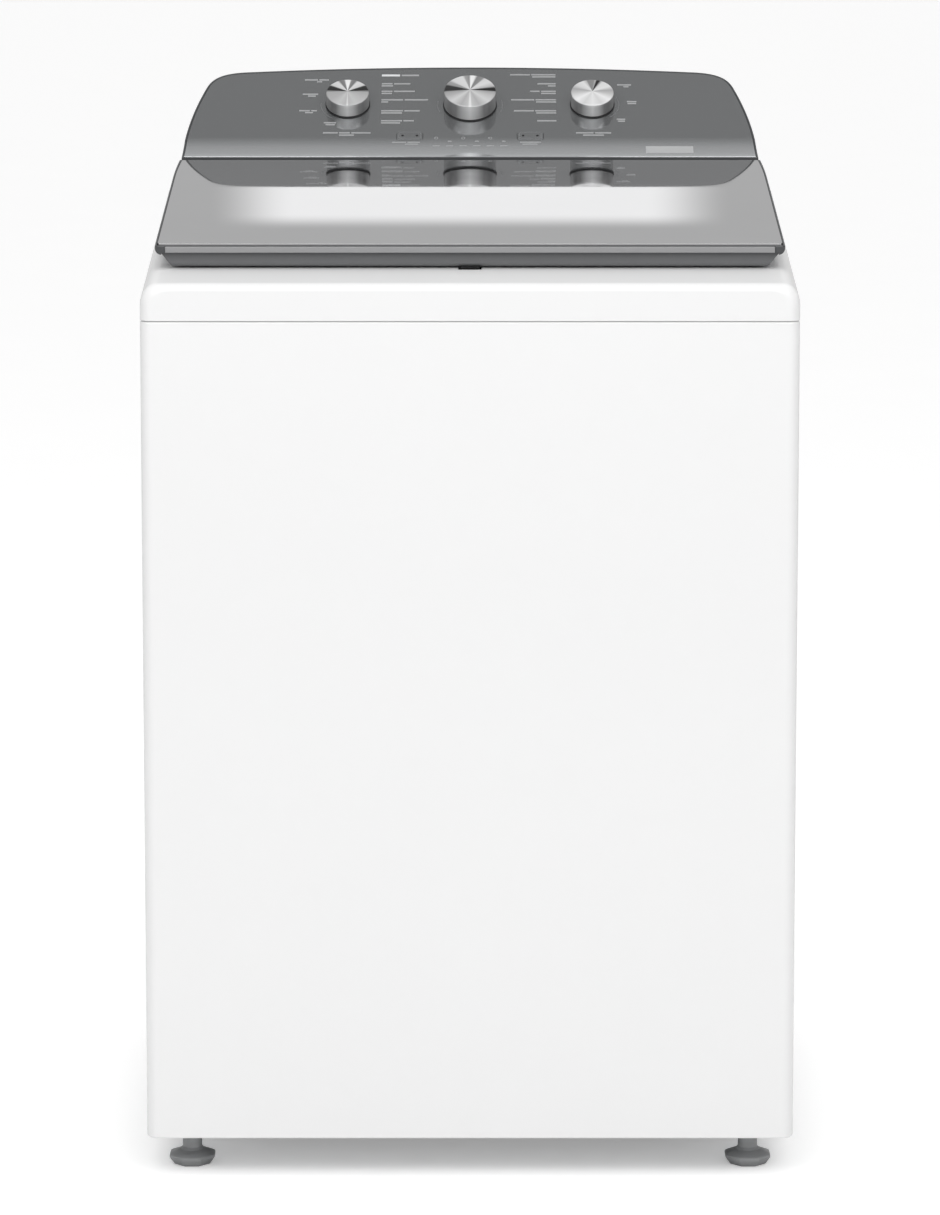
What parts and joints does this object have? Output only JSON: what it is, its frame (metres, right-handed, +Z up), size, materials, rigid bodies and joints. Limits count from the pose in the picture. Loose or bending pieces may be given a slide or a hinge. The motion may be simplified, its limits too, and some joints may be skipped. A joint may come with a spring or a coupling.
{
  "type": "top load washing machine",
  "caption": "Free-standing top load washing machine with a sloping glossy lid, raised rear control console, suspended tub, spinning basket and wash plate, and levelling feet.",
  "frame": {"origin": "on the floor under the middle of the machine's outline, water inlets included", "axes": "+Z up, +X to the right as seen from the front, +Y from the front towards the back"},
  "size_m": [0.686, 0.7, 1.1381],
  "materials": {
    "white_enamel": "gloss",
    "white_deck": "gloss",
    "silver_gloss": "gloss",
    "dark_plastic": "satin",
    "fascia_grey": "gloss",
    "spun_metal": "brushed",
    "zinc_sheet": "satin",
    "stainless": "brushed",
    "pale_plastic": "satin",
    "grey_plastic": "satin",
    "black_plastic": "satin",
    "black_rubber": "matte",
    "cast_metal": "satin",
    "board_green": "satin",
    "clear_lens": "gloss"
  },
  "bodies": {
    "cabinet": {"cabinet_shell": "white_enamel", "rear_panel": "zinc_sheet", "base_frame": "zinc_sheet", "top_deck": "white_deck", "console_housing": "dark_plastic", "console_fascia": "fascia_grey", "status_lens": "clear_lens", "control_board": "board_green", "console_rear_cover": "zinc_sheet", "cord_gland": "black_plastic", "cycle_switch": "pale_plastic", "level_switch": "pale_plastic", "temp_switch": "pale_plastic", "lid_hinge_left": "cast_metal", "lid_hinge_right": "cast_metal", "lid_lock": "black_plastic", "inlet_valve": "pale_plastic", "fill_hose": "black_rubber", "drain_outlet": "grey_plastic", "drain_hose": "grey_plastic", "suspension_rod_front_left": "zinc_sheet", "suspension_rod_front_right": "zinc_sheet", "suspension_rod_rear_left": "zinc_sheet", "suspension_rod_rear_right": "zinc_sheet", "suspension_spring_front_left": "stainless", "suspension_spring_front_right": "stainless", "suspension_spring_rear_left": "stainless", "suspension_spring_rear_right": "stainless"},
    "lid": {"lid_panel": "silver_gloss", "lid_frame": "dark_plastic", "lid_strike": "black_plastic"},
    "tub_unit": {"tub": "pale_plastic", "tub_ring": "pale_plastic", "drive_carrier": "zinc_sheet", "gearcase": "cast_metal", "motor": "cast_metal", "drive_belt": "black_rubber", "drain_pump": "pale_plastic"},
    "wash_basket": {"basket": "stainless", "balance_ring": "grey_plastic", "basket_hub": "cast_metal"},
    "wash_plate": {"impeller": "pale_plastic", "impeller_cap": "grey_plastic", "drive_shaft": "stainless", "drive_pulley": "black_plastic"},
    "motor_rotor": {"motor_pulley": "cast_metal"},
    "cycle_knob": {"cycle_knob_core": "black_plastic", "cycle_knob_cap": "spun_metal"},
    "level_knob": {"level_knob_core": "black_plastic", "level_knob_cap": "spun_metal"},
    "temp_knob": {"temp_knob_core": "black_plastic", "temp_knob_cap": "spun_metal"},
    "options_key": {"options_button": "fascia_grey"},
    "start_key": {"start_button": "fascia_grey"},
    "foot_front_left_body": {"foot_front_left": "grey_plastic"},
    "foot_front_right_body": {"foot_front_right": "grey_plastic"},
    "foot_rear_left_body": {"foot_rear_left": "grey_plastic"},
    "foot_rear_right_body": {"foot_rear_right": "grey_plastic"}
  },
  "joints": [
    {"name": "lid_hinge", "type": "hinge", "parent": "cabinet", "child": "lid", "pos_m": [0, 0.1386, 1.03143], "axis": [-1, 0, 0], "range_deg": [0, 105]},
    {"name": "tub_bounce", "type": "slide", "parent": "cabinet", "child": "tub_unit", "axis": [0, 0, 1], "range_m": [-0.025, 0.008], "stiffness_N_per_m": 16000, "springref_m": 0.0215, "deforming": ["suspension_spring_front_left", "suspension_spring_front_right", "suspension_spring_rear_left", "suspension_spring_rear_right", "drain_hose"]},
    {"name": "basket_spin", "type": "hinge", "parent": "tub_unit", "child": "wash_basket", "pos_m": [0, -0.007, 0.32], "axis": [0, 0, 1], "continuous": true},
    {"name": "wash_plate_spin", "type": "hinge", "parent": "tub_unit", "child": "wash_plate", "pos_m": [0, -0.007, 0.34], "axis": [0, 0, 1], "continuous": true},
    {"name": "motor_spin", "type": "hinge", "parent": "tub_unit", "child": "motor_rotor", "pos_m": [0.128, -0.129, 0.16], "axis": [0, 0, 1], "continuous": true},
    {"name": "cycle_knob_turn", "type": "hinge", "parent": "cabinet", "child": "cycle_knob", "pos_m": [0, 0.24225, 1.09811], "axis": [0, -0.5592, 0.829], "continuous": true},
    {"name": "level_knob_turn", "type": "hinge", "parent": "cabinet", "child": "level_knob", "pos_m": [-0.1405, 0.24308, 1.09867], "axis": [0, -0.5592, 0.829], "range_deg": [-50, 50]},
    {"name": "temp_knob_turn", "type": "hinge", "parent": "cabinet", "child": "temp_knob", "pos_m": [0.1405, 0.24308, 1.09867], "axis": [0, -0.5592, 0.829], "range_deg": [-40, 40]},
    {"name": "options_press", "type": "slide", "parent": "cabinet", "child": "options_key", "axis": [0, 0.5592, -0.829], "range_m": [0, 0.0015], "stiffness_N_per_m": 1500, "springref_m": -0.0005},
    {"name": "start_press", "type": "slide", "parent": "cabinet", "child": "start_key", "axis": [0, 0.5592, -0.829], "range_m": [0, 0.0015], "stiffness_N_per_m": 1500, "springref_m": -0.0005},
    {"name": "foot_front_left_screw", "type": "slide", "parent": "cabinet", "child": "foot_front_left_body", "axis": [0, 0, 1], "range_m": [-0.02, 0.008]},
    {"name": "foot_front_right_screw", "type": "slide", "parent": "cabinet", "child": "foot_front_right_body", "axis": [0, 0, 1], "range_m": [-0.02, 0.008]},
    {"name": "foot_rear_left_screw", "type": "slide", "parent": "cabinet", "child": "foot_rear_left_body", "axis": [0, 0, 1], "range_m": [-0.02, 0.008]},
    {"name": "foot_rear_right_screw", "type": "slide", "parent": "cabinet", "child": "foot_rear_right_body", "axis": [0, 0, 1], "range_m": [-0.02, 0.008]}
  ],
  "couplings": [
    {"joint": "motor_spin", "follows": "wash_plate_spin", "ratio": 4}
  ]
}
